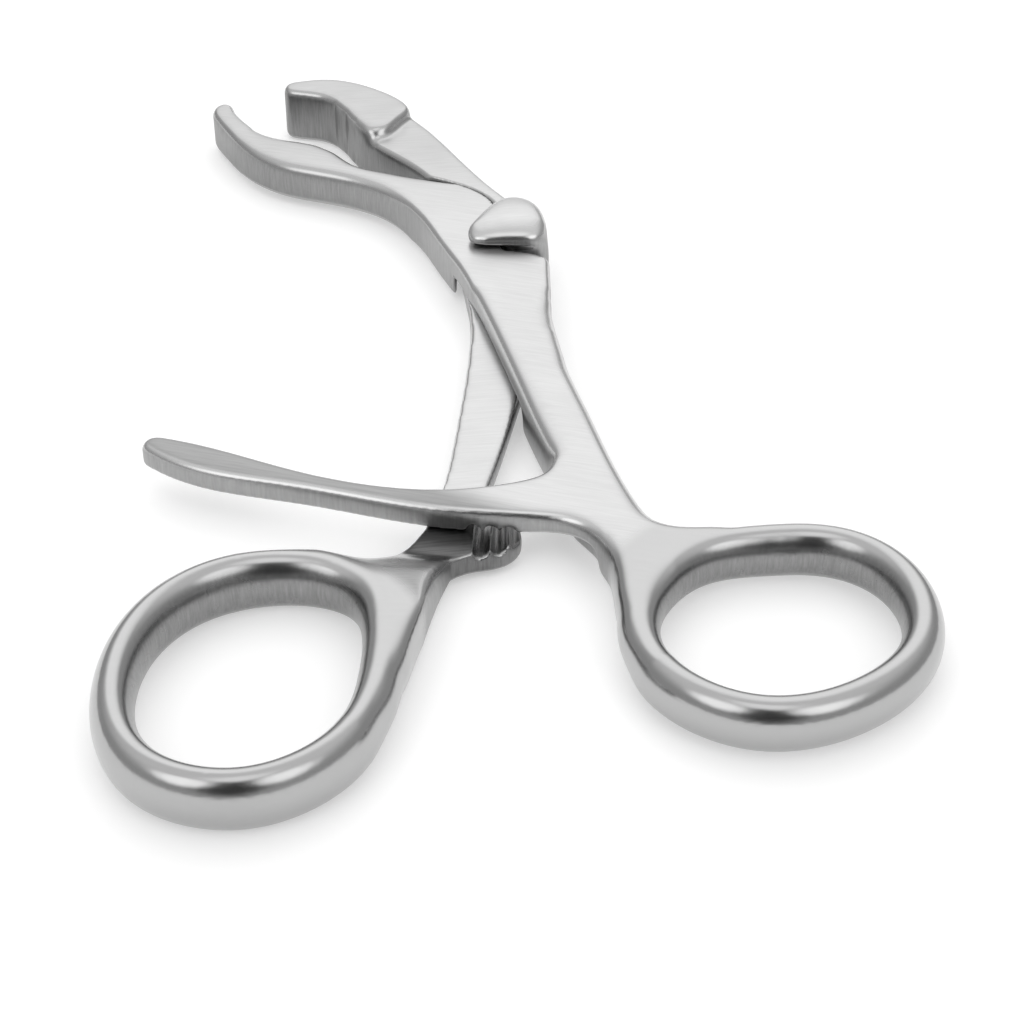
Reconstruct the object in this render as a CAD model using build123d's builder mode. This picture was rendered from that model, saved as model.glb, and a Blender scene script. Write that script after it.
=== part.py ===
"""Bone holding forceps: two forged levers crossing in a lap joint, a flush pivot pin, a ratchet bar and its catch.

Millimetres. The origin is on the pivot's axis at the flat underside of the joint. +Y runs towards the
jaws, +Z is up, and the instrument lies in the XY plane with its jaws closed. The lever with the ratchet
bar lies on top in the joint, the lever with the toothed catch below.
"""
import os
from math import cos, radians, sin

from build123d import *

os.makedirs("parts", exist_ok=True)

# Forged stock: full thickness, the height where the two levers meet, and the rounding of all edges
lever_thickness = 6.6
lap_height = lever_thickness / 2
lap_gap = 0.05
edge_round = 1.05

# The levers part along their seam by this angle, seen from the pivot
seam_turn = 0.5

# Pivot pin, pressed into the lower lever and turning in a blind bore of the upper one
pin_radius = 2.5
pin_running_gap = 0.03
cover_over_pin = 1.0

# Finger rings: oval tube
ring_tube_width = 4.8
ring_a_tube_height = 6.9
ring_b_tube_height = 7.6

# Ratchet: round-bottomed tooth spaces, half in the catch and half in the bar's underside
tooth_pitch_deg = 2.0
tooth_space_radius = 0.95
catch_spaces = 3
first_catch_space_deg = -92.6
bar_spaces = 3
first_bar_space_deg = first_catch_space_deg - 0.5 * tooth_pitch_deg
tooth_start_radius = 54
tooth_length = 14

# Ramp from the thin lower shank up to its ring, clear of the bar's swing
ramp_start_radius = 64.9
ramp_end_radius = 70.5

# Lug over the joint
lug_height = 3.3
lug_round = 1.5
lug_gap = 0.12
lug_dome_radius = 30
riser_front = 6.1

# Tall block at the end of the lower jaw, and the grip notches of both jaws
block_top = 8.4
block_bottom = -0.6
block_round = 1.1
grip_notch_radius = 0.6


def turn(points, angle):
    """The points turned about the pivot's axis by an angle in degrees."""
    c, s = cos(radians(angle)), sin(radians(angle))
    return [(x * c - y * s, x * s + y * c) for x, y in points]


# Forged outline of the upper lever
a_blank = [
    # right edge of the shank, round the joint and along the root of the jaw
    (18.2, -60.2), (15.2, -53), (11.3, -37.2), (8.4, -24.5), (6.6, -10), (6.3, 2), (5.4, 14), (0, 23),
    (-6.5, 27), (-13, 29.1), (-19, 31.4),
    # bone side of the jaw
    (-23.6, 33.9), (-26.4, 37.6), (-30, 41), (-35, 42.9), (-39.6, 45.2), (-42.6, 49.2),
    # hook
    (-44.9, 53.6), (-45.6, 55.2), (-47.1, 55.5), (-48.2, 54.2),
    # outer side of the jaw, down to the joint
    (-47.4, 49.6), (-44.7, 44.1), (-40.8, 37.9), (-36, 33.4), (-31, 31.1), (-26, 29.2), (-20.8, 26.2),
    (-16.2, 21.4), (-12.6, 15.1), (-9.9, 8), (-7.1, 1),
    # left edge of the shank, down to the ratchet bar
    (-4.9, -6), (1.6, -31.7), (4.9, -44.4), (5.6, -47.8), (4.9, -50.4), (2.2, -52.3),
    # ratchet bar: far edge, tip, near edge
    (-8, -54.4), (-25.1, -50.6), (-42.4, -43.3), (-44.4, -43.2), (-45.5, -44.8), (-44.4, -46.5),
    (-25.1, -54.2), (-7.8, -59), (3.8, -60.3), (8.8, -61.7), (11.6, -65.4),
    # end of the shank, inside the ring's tube
    (12.4, -70), (12.9, -75.2), (14.4, -77.6), (16.5, -77.6), (17.6, -75.4), (18, -72), (19.8, -68.4),
    (22.6, -66.3), (25.2, -65.3), (27.2, -64.8), (27.6, -63), (25.6, -61.9), (21.6, -61.8)]
a_ring_path = [(33.6, -62.9), (45.6, -69.2), (46.6, -80.6), (38.6, -90.5), (27, -93.4), (17.5, -87.1),
               (15.5, -76.4), (22, -65.8)]

# Machined edges of the upper lever: round the joint's corner, then along the seam to the jaw
a_hub_corner = [(7.5, 0.6), (5.5, 2.9), (3.4, 4.1), (-0.3, 5.0)]
a_seam = [(-0.3, 5.0), (-0.9, 8), (-1.2, 14), (-2.4, 20.6), (-6.4, 25.2), (-13.4, 29.2), (-18, 33)]

# Forged outline of the lower lever
b_blank = [
    # left edge of the shank, from the ring to the joint
    (-16.8, -65.6), (-12.3, -63), (-9.4, -58), (-7.9, -51), (-6.3, -35), (-5.1, -18), (-5.1, -8),
    (-6, 0), (-8, 14),
    # bone side of the jaw
    (-12, 28), (-17, 35.2), (-21.6, 40.6), (-24.8, 46), (-27.4, 51.2), (-30.6, 54.8),
    # end of the jaw
    (-34.5, 56), (-36.5, 57.1), (-36.5, 59.4), (-34.5, 60.6),
    # outer side of the jaw, past the joint
    (-30.3, 61.4), (-25.7, 60.2), (-21.1, 57.1), (-16.6, 52), (-12.6, 45.8), (-7.7, 36.2), (-4.1, 29),
    (-0.6, 23), (2.6, 18.6), (5.1, 14.6), (6.2, 9), (6.4, 1), (6, -7),
    # right edge of the shank, down to the ring
    (4.9, -14), (2, -29), (-2.1, -50), (-6.2, -65), (-8, -72), (-9.5, -80), (-10.8, -85.6),
    # end of the shank, inside the ring's tube
    (-12, -87.4), (-13.7, -87.3), (-14.8, -85.4), (-14.8, -79.8), (-15.9, -74.2), (-19.6, -70.6),
    (-24.6, -69.6), (-27, -69.9), (-28.4, -68.9), (-28.1, -67.2), (-26.3, -66.5), (-22, -66.2)]
b_ring_path = [(-27.6, -68.5), (-38.4, -74.8), (-42.2, -88), (-36.8, -101.9), (-26.4, -104.8),
               (-16.8, -98.4), (-13.6, -86.4), (-16.7, -71.3)]

# Sides of the lower lever in the joint, which the upper lever's lower half stands clear of
b_left_side = [(-7.1, 3.4), (-7.6, 8), (-9, 18), (-12.4, 28), (-18, 36)]
b_right_side = [(5.9, -13), (2.8, -29), (0.5, -41)]

# Catch tab on the lower lever, under the bar
tab_outline = [(-4.8, -53.2), (-2, -54.1), (0.6, -55.8), (2, -58.4), (1.3, -61.4), (-1, -63.1), (-4.2, -64),
               (-7.2, -66.2), (-9, -67.6), (-10.8, -67), (-10.6, -64.6), (-8.4, -58.8), (-7.4, -54.6), (-6.3, -53.3)]

# Raised lug on the lower lever, reaching over the upper one
lug_outline = [(-5.8, 6.7), (-4.9, 5.1), (-3, 4.7), (0, 4.6), (3.4, 4.6), (5.3, 5.4), (6, 7.8), (5.7, 12),
               (4.4, 15.7), (2, 18), (-0.7, 17.6), (-2.9, 14.4), (-5, 10)]
lug_crown = (1.5, 10)

# Tall block at the end of the lower jaw
block_outline = [(-22.8, 42.3), (-24.9, 45.9), (-27.4, 51), (-30.6, 54.6), (-34.5, 55.8), (-36.7, 57),
                 (-36.7, 59.6), (-34.5, 60.8), (-30.2, 61.6), (-25.6, 60.4), (-21, 57.3), (-17, 53),
                 (-15.8, 50), (-17.4, 46), (-20.2, 42)]

# Grip notches across the bone sides of the jaws
a_grip_notches = [(-28.5, 40.0), (-31.4, 41.9), (-34.6, 43.0), (-37.6, 44.3), (-40.3, 46.1)]
b_grip_notches = [(-25.2, 45.9), (-26.7, 49.1), (-28.7, 52.4)]


def ring_path(points):
    """Closed middle line of a finger ring, halfway up the levers."""
    return Spline(*[(x, y, lever_thickness / 2) for x, y in points], periodic=True)


# Cutter for the ratchet's tooth spaces, lying along +X on the plane where bar and catch meet
with BuildPart() as tooth_space:
    with BuildSketch(Plane.YZ.offset(tooth_start_radius)):
        with Locations((0, lap_height)):
            Circle(tooth_space_radius)
    extrude(amount=tooth_length)

with BuildPart() as ratchet_lever:
    with BuildSketch():
        with BuildLine():
            Spline(*a_blank, periodic=True)
        make_face()
    extrude(amount=lever_thickness)
    fillet(ratchet_lever.faces().filter_by(Axis.Z).edges(), edge_round)
    # Machined corner and seam beside the lower lever
    with BuildSketch(Plane.XY.offset(-1)):
        with BuildLine():
            hub_edge = Spline(*a_hub_corner)
            seam_edge = Spline(*a_seam)
            Polyline(seam_edge @ 1, (10, 40), (20, 20), (20, 0.6), hub_edge @ 0)
        make_face()
    extrude(amount=lever_thickness + 2, mode=Mode.SUBTRACT)
    # Lower half cleared for the joint, for the lower lever's shank and under the ratchet bar
    with BuildSketch(Plane.XY.offset(-1)):
        with BuildLine():
            left = Spline(*turn(b_left_side, seam_turn))
            right = Spline(*turn(b_right_side, seam_turn))
            Polyline(left @ 1, (10, 40), (20, 20), (20, -12), right @ 0)
            Polyline(right @ 1, (3, -46), (5.9, -49), (8.2, -57), (11.2, -61.8), (10.8, -68), (-60, -70),
                     (-60, -30), (-20, -10), (-20, -2), left @ 0)
        make_face()
    extrude(amount=1 + lap_height + lap_gap, mode=Mode.SUBTRACT)
    # Tooth spaces in the bar's underside
    with PolarLocations(0, bar_spaces, first_bar_space_deg, bar_spaces * tooth_pitch_deg):
        add(tooth_space.part, mode=Mode.SUBTRACT)
    # Grip notches of the jaw
    with Locations(*[(x, y, -1) for x, y in a_grip_notches]):
        Cylinder(grip_notch_radius, lever_thickness + 2, align=(Align.CENTER, Align.CENTER, Align.MIN),
                 mode=Mode.SUBTRACT)
    # Finger ring
    with BuildLine():
        path = ring_path(a_ring_path)
    with BuildSketch(Plane(path @ 0, z_dir=path % 0, x_dir=(0, 0, 1))):
        Ellipse(ring_a_tube_height / 2, ring_tube_width / 2)
    sweep(path=path)
    # Blind bore that turns on the pin
    Cylinder(pin_radius + pin_running_gap, lever_thickness - cover_over_pin + lap_gap,
             align=(Align.CENTER, Align.CENTER, Align.MIN), mode=Mode.SUBTRACT)

ratchet_lever.part.label = "ratchet_lever"
export_step(ratchet_lever.part, "parts/ratchet_lever.step")

with BuildPart() as catch_lever:
    with BuildSketch():
        with BuildLine():
            Spline(*b_blank, periodic=True)
        make_face()
    extrude(amount=lever_thickness)
    fillet(catch_lever.faces().filter_by(Axis.Z).edges(), edge_round)
    # Catch tab, rounded below
    with BuildSketch():
        with BuildLine():
            Spline(*tab_outline, periodic=True)
        make_face()
    tab = extrude(amount=lap_height - lap_gap, mode=Mode.PRIVATE)
    add(tab.fillet(0.9, tab.faces().sort_by(Axis.Z)[0].edges()))
    # Pocket for the upper lever, from the seam down to the ratchet bar
    with BuildSketch(Plane.XY.offset(lap_height - lap_gap)):
        with BuildLine():
            far = Spline(*turn(a_seam[1:], -seam_turn))
            Polyline(far @ 1, (-40, 40), (-40, -60), (20, -60), (20, riser_front), (1, riser_front), far @ 0)
        make_face()
    extrude(amount=lever_thickness, mode=Mode.SUBTRACT)
    # Ramp up to the ring
    with Locations((0, 0, lap_height - lap_gap)):
        ramp = Cone(ramp_start_radius, ramp_end_radius, lever_thickness - lap_height + 2 * lap_gap,
                    align=(Align.CENTER, Align.CENTER, Align.MIN), mode=Mode.PRIVATE)
    with Locations((0, -75, lap_height)):
        near_ring = Box(80, 40, 2 * lever_thickness, mode=Mode.PRIVATE)
    add(ramp & near_ring, mode=Mode.SUBTRACT)
    # Tooth spaces in the top of the catch
    with PolarLocations(0, catch_spaces, first_catch_space_deg, catch_spaces * tooth_pitch_deg):
        add(tooth_space.part, mode=Mode.SUBTRACT)
    # Lug over the joint, domed, its underside just clear of the upper lever
    with BuildSketch(Plane.XY.offset(lever_thickness + lug_gap)):
        with BuildLine():
            Spline(*lug_outline, periodic=True)
        make_face()
    lug = extrude(amount=lug_height - lug_gap, mode=Mode.PRIVATE)
    lug = lug.fillet(lug_round, lug.faces().sort_by(Axis.Z)[-1].edges())
    with Locations((*lug_crown, lever_thickness + lug_height - lug_dome_radius)):
        dome = Sphere(lug_dome_radius, mode=Mode.PRIVATE)
    add(lug & dome)
    with BuildSketch(Plane.XY.offset(lap_height)):
        with BuildLine():
            Spline(*lug_outline, periodic=True)
        make_face()
        with BuildLine():
            keep = Spline(*turn(a_seam[1:], -seam_turn))
            Polyline(keep @ 1, (10, 40), (20, 20), (20, riser_front), (1, riser_front), keep @ 0)
        make_face(mode=Mode.INTERSECT)
    extrude(amount=lap_height + 2 * lug_gap)
    # Tall block of the jaw
    with BuildSketch(Plane.XY.offset(block_bottom)):
        with BuildLine():
            Spline(*block_outline, periodic=True)
        make_face()
    block = extrude(amount=block_top - block_bottom, mode=Mode.PRIVATE)
    add(block.fillet(block_round, block.faces().filter_by(Axis.Z).edges()))
    # Grip notches of the jaw
    with Locations(*[(x, y, -2) for x, y in b_grip_notches]):
        Cylinder(grip_notch_radius, lever_thickness + 6, align=(Align.CENTER, Align.CENTER, Align.MIN),
                 mode=Mode.SUBTRACT)
    # Finger ring
    with BuildLine():
        path = ring_path(b_ring_path)
    with BuildSketch(Plane(path @ 0, z_dir=path % 0, x_dir=(0, 0, 1))):
        Ellipse(ring_b_tube_height / 2, ring_tube_width / 2)
    sweep(path=path)
    # Hole for the pin, pressed in from below
    Cylinder(pin_radius, lap_height, align=(Align.CENTER, Align.CENTER, Align.MIN), mode=Mode.SUBTRACT)

catch_lever.part.label = "catch_lever"
export_step(catch_lever.part, "parts/catch_lever.step")

with BuildPart() as pivot_pin:
    Cylinder(pin_radius, lever_thickness - cover_over_pin, align=(Align.CENTER, Align.CENTER, Align.MIN))

pivot_pin.part.label = "pivot_pin"
export_step(pivot_pin.part, "parts/pivot_pin.step")
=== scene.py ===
# %% [markdown]
# Bone holding forceps in satin stainless steel.
# Two forged levers cross in a lap joint and turn on one hidden pin. A ratchet bar reaches from one lever
# over a toothed catch on the other. The engineer's solids come in as the frame, and this lesson gives
# them their polished skin, their finish, a table top, soft light and the camera of the photograph.

# %% Load the frame
import math

import bmesh
import bpy
import numpy
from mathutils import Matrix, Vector


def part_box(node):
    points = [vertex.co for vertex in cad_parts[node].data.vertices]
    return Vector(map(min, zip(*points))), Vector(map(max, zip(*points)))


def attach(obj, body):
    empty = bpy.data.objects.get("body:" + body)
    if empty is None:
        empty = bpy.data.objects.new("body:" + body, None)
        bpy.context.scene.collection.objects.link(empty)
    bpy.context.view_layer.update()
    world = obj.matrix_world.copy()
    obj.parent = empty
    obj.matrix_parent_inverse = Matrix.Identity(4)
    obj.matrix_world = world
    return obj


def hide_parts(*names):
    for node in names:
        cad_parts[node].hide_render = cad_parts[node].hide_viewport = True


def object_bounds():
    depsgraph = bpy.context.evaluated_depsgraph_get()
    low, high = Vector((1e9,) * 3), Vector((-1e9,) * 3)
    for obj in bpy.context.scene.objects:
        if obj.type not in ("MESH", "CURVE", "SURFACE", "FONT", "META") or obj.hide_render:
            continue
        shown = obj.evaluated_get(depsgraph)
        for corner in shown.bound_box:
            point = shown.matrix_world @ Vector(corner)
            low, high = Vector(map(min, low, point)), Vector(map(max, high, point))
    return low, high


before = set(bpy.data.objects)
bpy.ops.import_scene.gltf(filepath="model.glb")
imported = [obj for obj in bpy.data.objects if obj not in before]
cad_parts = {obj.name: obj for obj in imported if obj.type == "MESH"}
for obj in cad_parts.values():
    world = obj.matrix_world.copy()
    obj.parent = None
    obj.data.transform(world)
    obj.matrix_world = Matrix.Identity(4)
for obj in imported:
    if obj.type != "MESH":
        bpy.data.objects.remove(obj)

MM = 0.001
cad_box = [list(corner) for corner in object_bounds()]
print("frame:", sorted(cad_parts), "box in mm:",
      [[round(v / MM, 1) for v in corner] for corner in cad_box])

# %% [markdown]
# The photograph is taken from the ring end, looking down along the shanks, with a short telephoto lens.
# The camera stands over the pivot's own line, 36 degrees above the table. The lens is given as a focal
# length for a 36 mm wide sensor, which is how Blender describes the angle of view.

# %% Camera
PHOTO_PX, FOCAL_PX, SENSOR_MM = 1024, 2000, 36
LOOK_DOWN = 36
camera_data = bpy.data.cameras.new("photo_camera")
camera_data.sensor_width = SENSOR_MM
camera_data.lens = FOCAL_PX / PHOTO_PX * SENSOR_MM
camera_data.clip_start = 0.005
camera_data.clip_end = 20
camera = bpy.data.objects.new("photo_camera", camera_data)
camera.location = (0.858 * MM, -252.15 * MM, 146.3 * MM)
camera.rotation_euler = (math.radians(90 - LOOK_DOWN), 0, 0)
bpy.context.scene.collection.objects.link(camera)
bpy.context.scene.camera = camera
bpy.context.scene.view_settings.view_transform = "Standard"
print("camera lens in mm:", round(camera_data.lens, 1))

# %% [markdown]
# Every material below is built from sums of masks and textures, and a node for each sum is a lot to write.
# So three small helpers write them. Each takes sockets or plain numbers and returns the socket with the
# result.

# %% Sums of sockets and numbers


def calc(tree, operation, *values):
    """A Math node on sockets or plain numbers."""
    node = tree.nodes.new("ShaderNodeMath")
    node.operation = operation
    for slot, value in zip(node.inputs, values):
        if isinstance(value, (int, float)):
            slot.default_value = value
        else:
            tree.links.new(value, slot)
    return node.outputs[0]


def vector_calc(tree, operation, *values):
    """A Vector Math node on sockets or plain triples."""
    node = tree.nodes.new("ShaderNodeVectorMath")
    node.operation = operation
    for slot, value in zip(node.inputs, values):
        if isinstance(value, tuple):
            slot.default_value = value
        else:
            tree.links.new(value, slot)
    return node.outputs["Value" if operation in ("DOT_PRODUCT", "DISTANCE") else "Vector"]


def between(tree, value, start, end):
    """0 where the value is at start, 1 where it is at end, smooth between them."""
    ramp = tree.nodes.new("ShaderNodeMapRange")
    ramp.interpolation_type = "SMOOTHSTEP"
    ramp.inputs["From Min"].default_value = start
    ramp.inputs["From Max"].default_value = end
    tree.links.new(value, ramp.inputs["Value"])
    return ramp.outputs["Result"]


print("helpers:", calc.__name__, vector_calc.__name__, between.__name__)

# %% [markdown]
# The forceps lie on a plain white table. It is one large sheet a hair's breadth under the lower jaw, with a
# dull white finish, so it keeps the soft shadow and gives the steel something pale to mirror.

# %% Table
TABLE_REACH, TABLE_GAP = 3.0, 0.02 * MM
table_z = cad_box[0][2] - TABLE_GAP
table_mesh = bpy.data.meshes.new("table_top")
corners = [(TABLE_REACH * x, TABLE_REACH * y, table_z) for x, y in ((-1, -1), (1, -1), (1, 1), (-1, 1))]
table_mesh.from_pydata(corners, [], [(0, 1, 2, 3)])
table = bpy.data.objects.new("table_top", table_mesh)
bpy.context.scene.collection.objects.link(table)
print("table at z in mm:", round(table_z / MM, 2))

# %% [markdown]
# White paper in a photograph is a little brighter than the lamp alone makes it here. So the table glows
# faintly for the camera and for what mirrors it, and not for the light that it throws back on the steel.

# %% Table's white
TABLE_GREY, TABLE_GLOW = 0.72, 0.38
paper = bpy.data.materials.new("table_white")
paper.use_nodes = True
paper_shader = paper.node_tree.nodes["Principled BSDF"]
paper_shader.inputs["Base Color"].default_value = (TABLE_GREY, TABLE_GREY, TABLE_GREY, 1)
paper_shader.inputs["Roughness"].default_value = 0.9
paper_shader.inputs["Specular IOR Level"].default_value = 0.1
paper_shader.inputs["Emission Color"].default_value = (1, 1, 1, 1)
rays = paper.node_tree.nodes.new("ShaderNodeLightPath")
seen = rays.outputs["Is Camera Ray"]
for kind in ("Is Glossy Ray", "Is Transmission Ray"):
    seen = calc(paper.node_tree, "MAXIMUM", seen, rays.outputs[kind])
glow = paper.node_tree.nodes.new("ShaderNodeMapRange")
glow.inputs["To Max"].default_value = TABLE_GLOW
paper.node_tree.links.new(seen, glow.inputs["Value"])
paper.node_tree.links.new(glow.outputs["Result"], paper_shader.inputs["Emission Strength"])
table_mesh.materials.append(paper)
print("table material:", paper.name)

# %% [markdown]
# Polished steel has almost no colour of its own: it shows what stands round it. So the room is designed
# as carefully as the metal. It is a pale tent, brightest overhead and behind the jaws, darker behind the
# camera, where the photographer stands. That dark place is what makes the dark patches on the near
# rims of the rings.

# %% Room
room = bpy.data.worlds.new("studio_tent")
bpy.context.scene.world = room
room.use_nodes = True
tent = room.node_tree
tent.nodes.clear()
look = tent.nodes.new("ShaderNodeTexCoord")
room_fill = tent.nodes.new("ShaderNodeBackground")
tent.links.new(room_fill.outputs[0], tent.nodes.new("ShaderNodeOutputWorld").inputs[0])


def zone(azimuth, elevation, inner, outer):
    """A soft round patch of the room: 1 inside the inner angle, 0 outside the outer one, in degrees."""
    a, e = math.radians(azimuth), math.radians(elevation)
    middle = (math.sin(a) * math.cos(e), math.cos(a) * math.cos(e), math.sin(e))
    nearness = vector_calc(tent, "DOT_PRODUCT", look.outputs["Generated"], middle)
    return between(tent, nearness, math.cos(math.radians(outer)), math.cos(math.radians(inner)))


def paint(under, patch, shade):
    """Lays a grey shade over the room where the patch is 1."""
    mix = tent.nodes.new("ShaderNodeMix")
    mix.data_type = "RGBA"
    tent.links.new(patch, mix.inputs["Factor"])
    if isinstance(under, float):
        mix.inputs["A"].default_value = (under, under, under, 1)
    else:
        tent.links.new(under, mix.inputs["A"])
    mix.inputs["B"].default_value = (shade, shade, shade, 1)
    return mix.outputs["Result"]


# Azimuth and elevation of a patch's middle, its inner and outer angle, its shade
PATCHES = [(0, 90, 25, 75, 0.95),    # the pale ceiling
           (0, 38, 10, 38, 1.5),     # the bright wall behind the jaws, which the flats mirror
           (180, 32, 14, 36, 0.05),  # the photographer
           (136, 40, 8, 24, 1.8),    # a bright screen on each side of the photographer
           (224, 40, 8, 24, 1.8),
           (180, 76, 6, 20, 1.4)]    # and one above
TENT_GREY = 0.46
walls = TENT_GREY
for *place, shade in PATCHES:
    walls = paint(walls, zone(*place), shade)
tent.links.new(walls, room_fill.inputs["Color"])
print("room patches:", len(PATCHES))

# %% [markdown]
# One large soft lamp hangs over the jaws and gives the table its even white and the forceps a faint
# shadow. It is big and near, so no edge of the shadow is hard. The steel mirrors the tent, not the lamp.

# %% Lamp
LAMP_AIM = Vector((0, -0.03, 0))
lamp_data = bpy.data.lights.new("overhead_softbox", "AREA")
lamp_data.shape = "RECTANGLE"
lamp_data.size, lamp_data.size_y = 0.9, 0.7
lamp_data.energy = 0.8
lamp = bpy.data.objects.new("overhead_softbox", lamp_data)
lamp.location = (-0.1, 0.35, 0.75)
lamp.rotation_euler = (LAMP_AIM - lamp.location).to_track_quat("-Z", "Y").to_euler()
lamp.visible_glossy = False
bpy.context.scene.collection.objects.link(lamp)
print("lamp size in m:", round(lamp_data.size, 2), "x", round(lamp_data.size_y, 2))

# %% [markdown]
# Two marks of the workshop are on every steel surface. The satin grain is a field of very fine scratches
# that all run one way, and the polishing wheel leaves broad faint clouds. Both are node groups, so that
# every steel here can use them with its own strength.

# %% Grain and clouds


def new_group(name, inputs, outputs):
    """A shader node group with float inputs (name: value) and named outputs."""
    tree = bpy.data.node_groups.new(name, "ShaderNodeTree")
    tree.interface.new_socket("Coordinates", in_out="INPUT", socket_type="NodeSocketVector")
    for label, value in inputs.items():
        tree.interface.new_socket(label, in_out="INPUT", socket_type="NodeSocketFloat").default_value = value
    for label in outputs:
        tree.interface.new_socket(label, in_out="OUTPUT", socket_type="NodeSocketFloat")
    return tree, tree.nodes.new("NodeGroupInput"), tree.nodes.new("NodeGroupOutput")


grain, grain_in, grain_out = new_group("satin_grain", {"Across": 9000.0, "Along": 260.0}, ["Scratches"])
stretch = grain.nodes.new("ShaderNodeCombineXYZ")
for label, axis in (("Along", "X"), ("Across", "Y"), ("Across", "Z")):
    grain.links.new(grain_in.outputs[label], stretch.inputs[axis])
scaled = vector_calc(grain, "MULTIPLY", grain_in.outputs["Coordinates"], stretch.outputs["Vector"])
hair = grain.nodes.new("ShaderNodeTexNoise")
hair.inputs["Scale"].default_value = 1.0
hair.inputs["Detail"].default_value = 3.0
hair.inputs["Roughness"].default_value = 0.65
grain.links.new(scaled, hair.inputs["Vector"])
grain.links.new(hair.outputs["Fac"], grain_out.inputs["Scratches"])

clouds, clouds_in, clouds_out = new_group("polish_clouds", {"Size": 160.0}, ["Clouds"])
drift = clouds.nodes.new("ShaderNodeTexNoise")
drift.inputs["Detail"].default_value = 4.0
drift.inputs["Roughness"].default_value = 0.55
clouds.links.new(clouds_in.outputs["Coordinates"], drift.inputs["Vector"])
clouds.links.new(clouds_in.outputs["Size"], drift.inputs["Scale"])
clouds.links.new(drift.outputs["Fac"], clouds_out.inputs["Clouds"])
print("groups:", [g.name for g in bpy.data.node_groups])

# %% [markdown]
# The steel itself has three finishes on one forging. The flats were drawn over a belt and stay satin, with
# grain across the lever. The side walls were ground on a coarser wheel, up and down, and are painted darker,
# partly for that grind and partly as painted shade for the dimmer light on their sides. The rings were buffed
# until they mirror the room. The rings and the walls of their finger holes are painted darker as painted shade
# on what they mirror. One more node group tells them apart, and it also holds the masks of painted shade.
# Flats point straight up or down and walls point sideways, by the object's own normal. A ring is what lies
# near the ring's centre, and the wall of a finger hole is the part of it that faces that centre.

# %% Masks of the three finishes
RING_START, RING_FULL = 22.5 * MM, 20 * MM
MASKS = ["Flats", "Walls", "Rings", "Holes", "Lock", "Jaws", "Bar"]
finishes, finishes_in, finishes_out = new_group("finish_and_shade_masks", {}, MASKS)
for label in ("Direction", "Ring Centre"):
    finishes.interface.new_socket(label, in_out="INPUT", socket_type="NodeSocketVector")
spot, direction, centre = (finishes_in.outputs[label] for label in ("Coordinates", "Direction", "Ring Centre"))


def split(vector):
    """The x, y and z of a vector socket."""
    node = finishes.nodes.new("ShaderNodeSeparateXYZ")
    finishes.links.new(vector, node.inputs["Vector"])
    return node.outputs[:3]


def give(label, *factors):
    """Hands out the product of some masks under a label, and returns it."""
    product = factors[0]
    for factor in factors[1:]:
        product = calc(finishes, "MULTIPLY", product, factor)
    finishes.links.new(product, finishes_out.inputs[label])
    return product


upright = calc(finishes, "ABSOLUTE", split(direction)[2])
rings = give("Rings", between(finishes, vector_calc(finishes, "DISTANCE", spot, centre), RING_START, RING_FULL))
off_rings = calc(finishes, "SUBTRACT", 1.0, rings)
flats = give("Flats", between(finishes, upright, 0.9, 0.99), off_rings)
give("Walls", between(finishes, upright, 0.55, 0.2), off_rings)
to_centre = vector_calc(finishes, "NORMALIZE", vector_calc(finishes, "SUBTRACT", centre, spot))
facing_in = vector_calc(finishes, "DOT_PRODUCT", to_centre, direction)
give("Holes", between(finishes, facing_in, 0.45, 0.9), rings)
print("ring mask from", RING_START / MM, "to", RING_FULL / MM, "mm")

# %% [markdown]
# Three places are painted darker than the rest, as painted shade. Where the toothed bar and the catch meet,
# the shade under the bar and in the gaps of the teeth is painted in. The jaws are painted a plainer grey than
# the shanks, painted shade for the dimmer light on their tops. The top of the ratchet bar is painted the same
# way, from its tip to a line that slants across it, a painted darker reflection for a top that really slopes
# toward the dark side of the room.

# %% Masks of the painted shade
# Painted shade round the place where the catch sits under the bar
LOCK, LOCK_START, LOCK_FULL = (-6 * MM, -61 * MM, 4 * MM), 10 * MM, 5 * MM
spot_x, spot_y = split(spot)[:2]
give("Lock", between(finishes, vector_calc(finishes, "DISTANCE", spot, LOCK), LOCK_START, LOCK_FULL))
# Painted shade on the jaws, growing from y = 12 mm to 40 mm
give("Jaws", between(finishes, spot_y, 12 * MM, 40 * MM))
# A painted darker reflection on the flat top of the ratchet bar, behind a slanting line
slant = calc(finishes, "MULTIPLY_ADD", spot_y, 2.0, spot_x)
give("Bar", between(finishes, slant, -112 * MM, -122 * MM), between(finishes, spot_x, 12 * MM, 4 * MM),
     between(finishes, spot_y, -30 * MM, -38 * MM), flats)
print("finishes:", [s.name for s in finishes.interface.items_tree if s.in_out == "OUTPUT"])

# %% [markdown]
# Now the metal. Its colour is one grey that the grain makes a little lighter and darker. Painted shade makes
# it darker on the walls (there partly for their coarser grind), on the rings and the walls of the finger holes,
# on the jaws, on the top of the ratchet bar and where the catch meets the bar. Its roughness is lowest on the
# rings and highest on the walls. The clouds of the polishing wheel lie over all of it.

# %% Steel
STEEL_GREY = 0.56
RINGS_ROUGH, ROUNDS_ROUGH, FLATS_ROUGH, WALLS_ROUGH, HOLES_ROUGH = 0.19, 0.24, 0.33, 0.36, 0.27
CLOUDS_ROUGH = 0.14
# How much darker the steel is painted: on the walls partly for the coarser grind and partly painted shade,
# elsewhere painted shade
WALLS_DARKER, RINGS_DARKER, HOLES_DARKER, JAWS_DARKER, BAR_DARKER = 0.2, 0.11, 0.17, 0.09, 0.25


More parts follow.
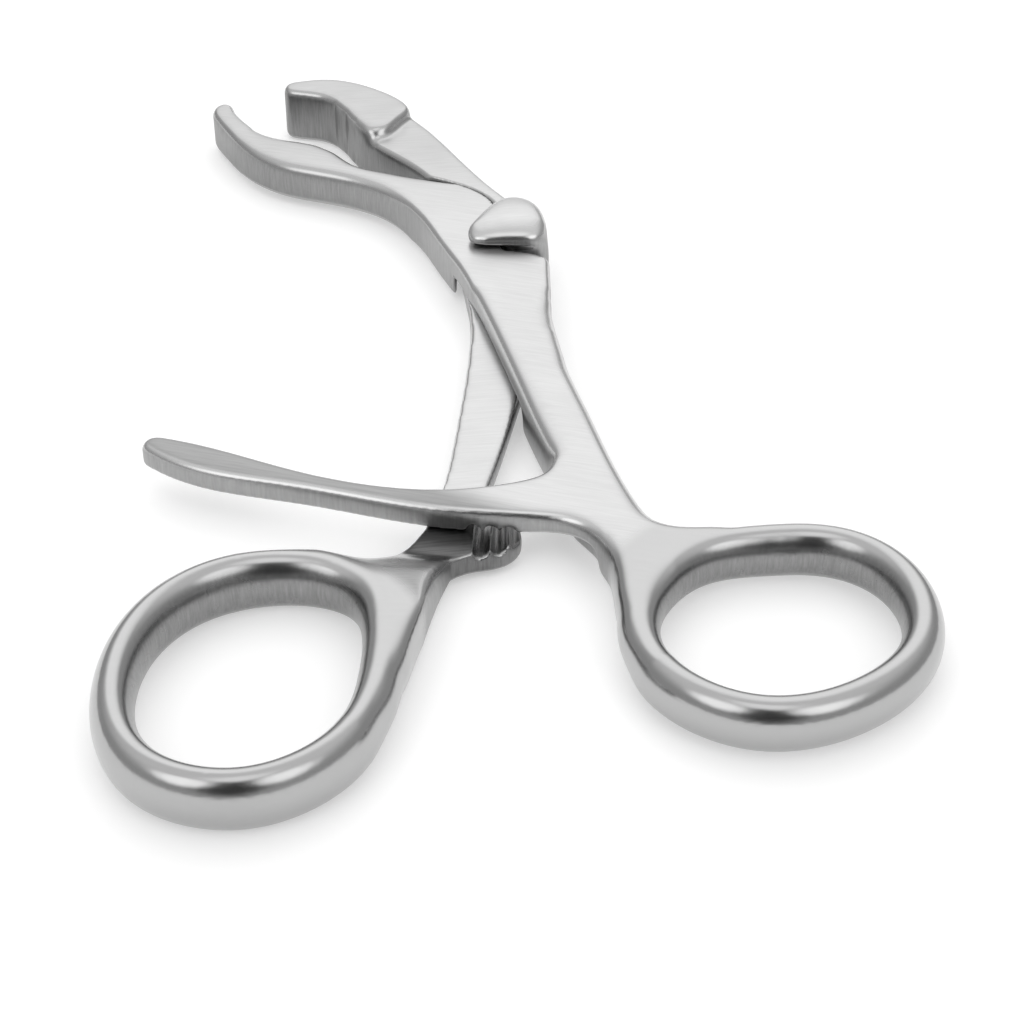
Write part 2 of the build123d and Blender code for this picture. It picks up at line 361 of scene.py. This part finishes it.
def use_group(tree, group, coordinates, values):
    """A group node with its coordinates linked and its other values set."""
    node = tree.nodes.new("ShaderNodeGroup")
    node.node_tree = group
    tree.links.new(coordinates, node.inputs["Coordinates"])
    for label, value in values.items():
        node.inputs[label].default_value = value
    return node


def scratches(tree, place, turned, across, along):
    """The grain, turned by some degrees round each axis, as a value round 0."""
    turn = tree.nodes.new("ShaderNodeMapping")
    turn.inputs["Rotation"].default_value = [math.radians(v) for v in turned]
    tree.links.new(place, turn.inputs["Vector"])
    hairs = use_group(tree, grain, turn.outputs["Vector"], {"Across": across, "Along": along})
    return calc(tree, "SUBTRACT", hairs.outputs["Scratches"], 0.5)


def add_up(tree, total, steps):
    """The total plus every mask times its amount."""
    for mask, amount in steps:
        total = calc(tree, "MULTIPLY_ADD", mask, amount, total)
    return total


def steel(name, grain_turn, ring_centre, lock_darker):
    """Stainless steel with satin flats, ground walls and buffed rings, and painted shade on walls, rings,
    finger holes, jaws, bar top and lock.
    """
    finish = bpy.data.materials.new(name)
    finish.use_nodes = True
    tree = finish.node_tree
    shader = tree.nodes["Principled BSDF"]
    shader.inputs["Metallic"].default_value = 1.0
    texture = tree.nodes.new("ShaderNodeTexCoord")
    place = texture.outputs["Object"]
    masks = use_group(tree, finishes, place, {"Ring Centre": [v * MM for v in ring_centre]})
    tree.links.new(texture.outputs["Normal"], masks.inputs["Direction"])
    flats, walls, rings, holes, lock, jaws, bar = (masks.outputs[label] for label in MASKS)
    ground = calc(tree, "MAXIMUM", walls, holes)
    belt = scratches(tree, place, (0, 0, grain_turn), 3600, 160)
    wheel = scratches(tree, place, (0, 90, 0), 3200, 240)
    cloud = calc(tree, "SUBTRACT", use_group(tree, clouds, place, {"Size": 150}).outputs["Clouds"], 0.5)
    # Roughness
    rough = add_up(tree, ROUNDS_ROUGH, [
        (flats, FLATS_ROUGH - ROUNDS_ROUGH), (walls, WALLS_ROUGH - ROUNDS_ROUGH),
        (rings, RINGS_ROUGH - ROUNDS_ROUGH), (holes, HOLES_ROUGH - RINGS_ROUGH), (cloud, CLOUDS_ROUGH)])
    tree.links.new(rough, shader.inputs["Roughness"])
    # Colour: the grain, and painted shade on the walls (partly their grind), rings, finger holes, jaws, bar top
    # and lock
    belt_depth = calc(tree, "MULTIPLY_ADD", flats, 0.12, 0.03)
    tone = add_up(tree, STEEL_GREY, [
        (belt, belt_depth), (calc(tree, "MULTIPLY", wheel, ground), 0.2), (walls, -WALLS_DARKER),
        (rings, -RINGS_DARKER), (holes, -HOLES_DARKER), (jaws, -JAWS_DARKER), (bar, -BAR_DARKER),
        (lock, -lock_darker)])
    grey = tree.nodes.new("ShaderNodeCombineColor")
    for channel in ("Red", "Green", "Blue"):
        tree.links.new(tone, grey.inputs[channel])
    tree.links.new(grey.outputs["Color"], shader.inputs["Base Color"])
    # Relief of the scratches
    relief = calc(tree, "MULTIPLY", belt, calc(tree, "MULTIPLY_ADD", flats, 0.9, 0.1))
    relief = calc(tree, "MULTIPLY_ADD", wheel, ground, relief)
    bump = tree.nodes.new("ShaderNodeBump")
    bump.inputs["Distance"].default_value = 0.00002
    bump.inputs["Strength"].default_value = 0.35
    tree.links.new(relief, bump.inputs["Height"])
    tree.links.new(bump.outputs["Normal"], shader.inputs["Normal"])
    return finish


# The last number is how dark the painted shade is where the catch meets the bar
steels = {"ratchet_lever": steel("ratchet_lever_steel", 16, (31, -78, 3.3), 0.02),
          "catch_lever": steel("catch_lever_steel", -8, (-28, -86.7, 3.3), 0.18),
          "pivot_pin": steel("pivot_pin_steel", 0, (0, -90, 0), 0)}
print("steels:", list(steels))

# %% [markdown]
# The solids arrive as loose flat triangles, which would show as facets in polished metal. So each lever is
# copied, its doubled points are merged, and a fine voxel remesh gives it an even skin.

# %% An even skin
SKIN_VOXEL, MERGE = 0.295 * MM, 0.002 * MM


def plain_mesh(piece):
    """The piece's mesh with its modifiers applied."""
    deps = bpy.context.evaluated_depsgraph_get()
    return bpy.data.meshes.new_from_object(piece.evaluated_get(deps))


def even_copy(node):
    """An evenly meshed copy of a solid."""
    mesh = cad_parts[node].data.copy()
    mesh.materials.clear()
    tidy = bmesh.new()
    tidy.from_mesh(mesh)
    bmesh.ops.remove_doubles(tidy, verts=tidy.verts, dist=MERGE)
    tidy.to_mesh(mesh)
    tidy.free()
    piece = bpy.data.objects.new(node + "_skin", mesh)
    bpy.context.scene.collection.objects.link(piece)
    remesh = piece.modifiers.new("even_skin", "REMESH")
    remesh.mode = "VOXEL"
    remesh.voxel_size = SKIN_VOXEL
    remesh.use_smooth_shade = True
    piece.data = plain_mesh(piece)
    piece.modifiers.clear()
    return piece


skins = {node: even_copy(node) for node in ("ratchet_lever", "catch_lever")}
print("points:", {node: len(piece.data.vertices) for node, piece in skins.items()})

# %% [markdown]
# The real levers were finished by hand, and the solids are a little too regular. Swells fill the skin out
# by half a millimetre where a ring meets its shank. Negative swells take it down where the real one has
# broad soft bevels: along the upper shank's edges, at the front of the lug and at the crest behind the
# catch. Each swell is a start, an end and a radius in mm, and how much fuller it gets.

# %% Swells
SWELLS = {
    "ratchet_lever": [((13, -77, 4), (13, -79, 4), 5, 0.6), ((10, -25, 7.4), (19, -58, 7.4), 4, -1.1),
                      ((-6, -8, 7.2), (4.6, -46, 7.2), 3.6, -1)],
    "catch_lever": [((-11.2, -87, 4), (-11.4, -90, 4), 5, 0.6), ((-4.5, 5, 9.9), (4.8, 5, 9.9), 3, -0.9),
                    ((-16, -67.6, 6.6), (-8, -69.5, 6.6), 4, -0.8)]}


def read(mesh, what):
    """The places or normals of a mesh's points, one row each."""
    rows = numpy.empty(len(mesh.vertices) * 3)
    mesh.vertices.foreach_get(what, rows)
    return rows.reshape(-1, 3)


def near_run(places, start, end, radius):
    """1 on the line from start to end, falling to 0 at the radius round it."""
    start, run = numpy.array(start), numpy.subtract(end, start)
    along = numpy.clip((places - start) @ run / max(run @ run, 1e-6), 0, 1)
    away = numpy.linalg.norm(places - start - numpy.outer(along, run), axis=1)
    return numpy.clip(1 - away / radius, 0, 1)


for node, piece in skins.items():
    places, normals = read(piece.data, "co") / MM, read(piece.data, "normal")
    for start, end, radius, fuller in SWELLS[node]:
        near = near_run(places, start, end, radius)
        places += normals * (near * near * (3 - 2 * near) * fuller)[:, None]
    piece.data.vertices.foreach_set("co", (places * MM).ravel())
    print(node, "swells:", len(SWELLS[node]))

# %% [markdown]
# A few rounds of smoothing then soften every edge by a fraction of a millimetre, as a buffing wheel does,
# and the teeth a little less. Where the rings grow out of the shanks, on the lug and on the hooked jaw the
# real one was rounded by hand. So a list of soft runs, each a start, an end, a radius and a number of
# rounds, gets more of the same smoothing. No skin leaves the box of its solid.

# %% Buffing
BUFFING_ROUNDS, TEETH_SHARE = 6, 0.25
TEETH = ((-5.5, -56, 3.3), (0.5, -61, 3.3), 5)
SOFT_RUNS = {
    "ratchet_lever": [((1, -14, 6), (12, -56, 6), 12, 60), ((7, -12, 6.4), (18, -58, 6.4), 3.6, 160),
                      ((16, -66, 4), (16, -66, 4), 16, 60), ((13.2, -70, 5), (14, -81, 5), 6.5, 230),
                      ((5, -56, 5), (-40, -46, 5), 7, 16), ((-20, 30, 5), (-32, 38, 5), 13, 190),
                      ((-42, 46, 4), (-42, 46, 4), 8, 40), ((6, -8.5, 5), (6.2, -14, 5), 3.6, 90)],
    "catch_lever": [((1, 11, 13), (1, 11, 13), 14, 150), ((-4, 5.5, 9.4), (5, 5.5, 9.4), 3.4, 110),
                    ((-16, -68, 6.6), (-7, -70, 6.6), 6, 200), ((-25, 46, 6.6), (-25, 46, 6.6), 5, 60),
                    ((-18, -72, 4), (-18, -72, 4), 14, 60), ((-11, -83, 5), (-12.5, -91, 5), 7, 170),
                    ((-22, 48, 7), (-30, 57, 7), 10, 20), ((-22.4, 42.6, 7), (-22.4, 43.4, 7), 3.4, 90),
                    ((-1, -12, 1.6), (-3, -44, 1.6), 9, 50)]}


def smooth_by(piece, name, weights, rounds):
    """Some rounds of smoothing, on each point as strongly as its weight says."""
    group = piece.vertex_groups.new(name=name)
    for index in numpy.flatnonzero(weights):
        group.add([int(index)], weights[index], "REPLACE")
    smooth = piece.modifiers.new(name, "SMOOTH")
    smooth.factor = 0.5
    smooth.iterations = rounds
    smooth.vertex_group = name


for node, piece in skins.items():
    places = read(piece.data, "co") / MM
    smooth_by(piece, "buffing", numpy.where(near_run(places, *TEETH) > 0, TEETH_SHARE, 1.0), BUFFING_ROUNDS)
    for number, (start, end, radius, rounds) in enumerate(SOFT_RUNS[node]):
        weights = numpy.clip(2 * near_run(places, start, end, radius), 0, 1)
        smooth_by(piece, f"hand_rounding_{number}", weights, rounds)
    skin = plain_mesh(piece)
    piece.modifiers.clear()
    piece.vertex_groups.clear()
    piece.data = skin
    skin.name = node + "_skin"
    skin.vertices.foreach_set("co", read(skin, "co").clip(*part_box(node)).ravel())
    print(node, "skin triangles:", sum(len(p.vertices) - 2 for p in skin.polygons))

# %% [markdown]
# Each skin takes its solid's place, gets the steel and rides on its body, so that the forceps still open.

# %% Levers
for node, body in (("ratchet_lever", "ratchet_side"), ("catch_lever", "catch_side")):
    piece = skins[node]
    piece.data.materials.clear()
    piece.data.materials.append(steels[node])
    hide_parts(node)
    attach(piece, body)
    print(node, "rides on", body)

# %% [markdown]
# The pin is ground level with the underside, and the upper lever covers its other end. The solid itself is
# kept and only gets the steel.

# %% Pin
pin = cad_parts["pivot_pin"]
pin.data.materials.clear()
pin.data.materials.append(steels["pivot_pin"])
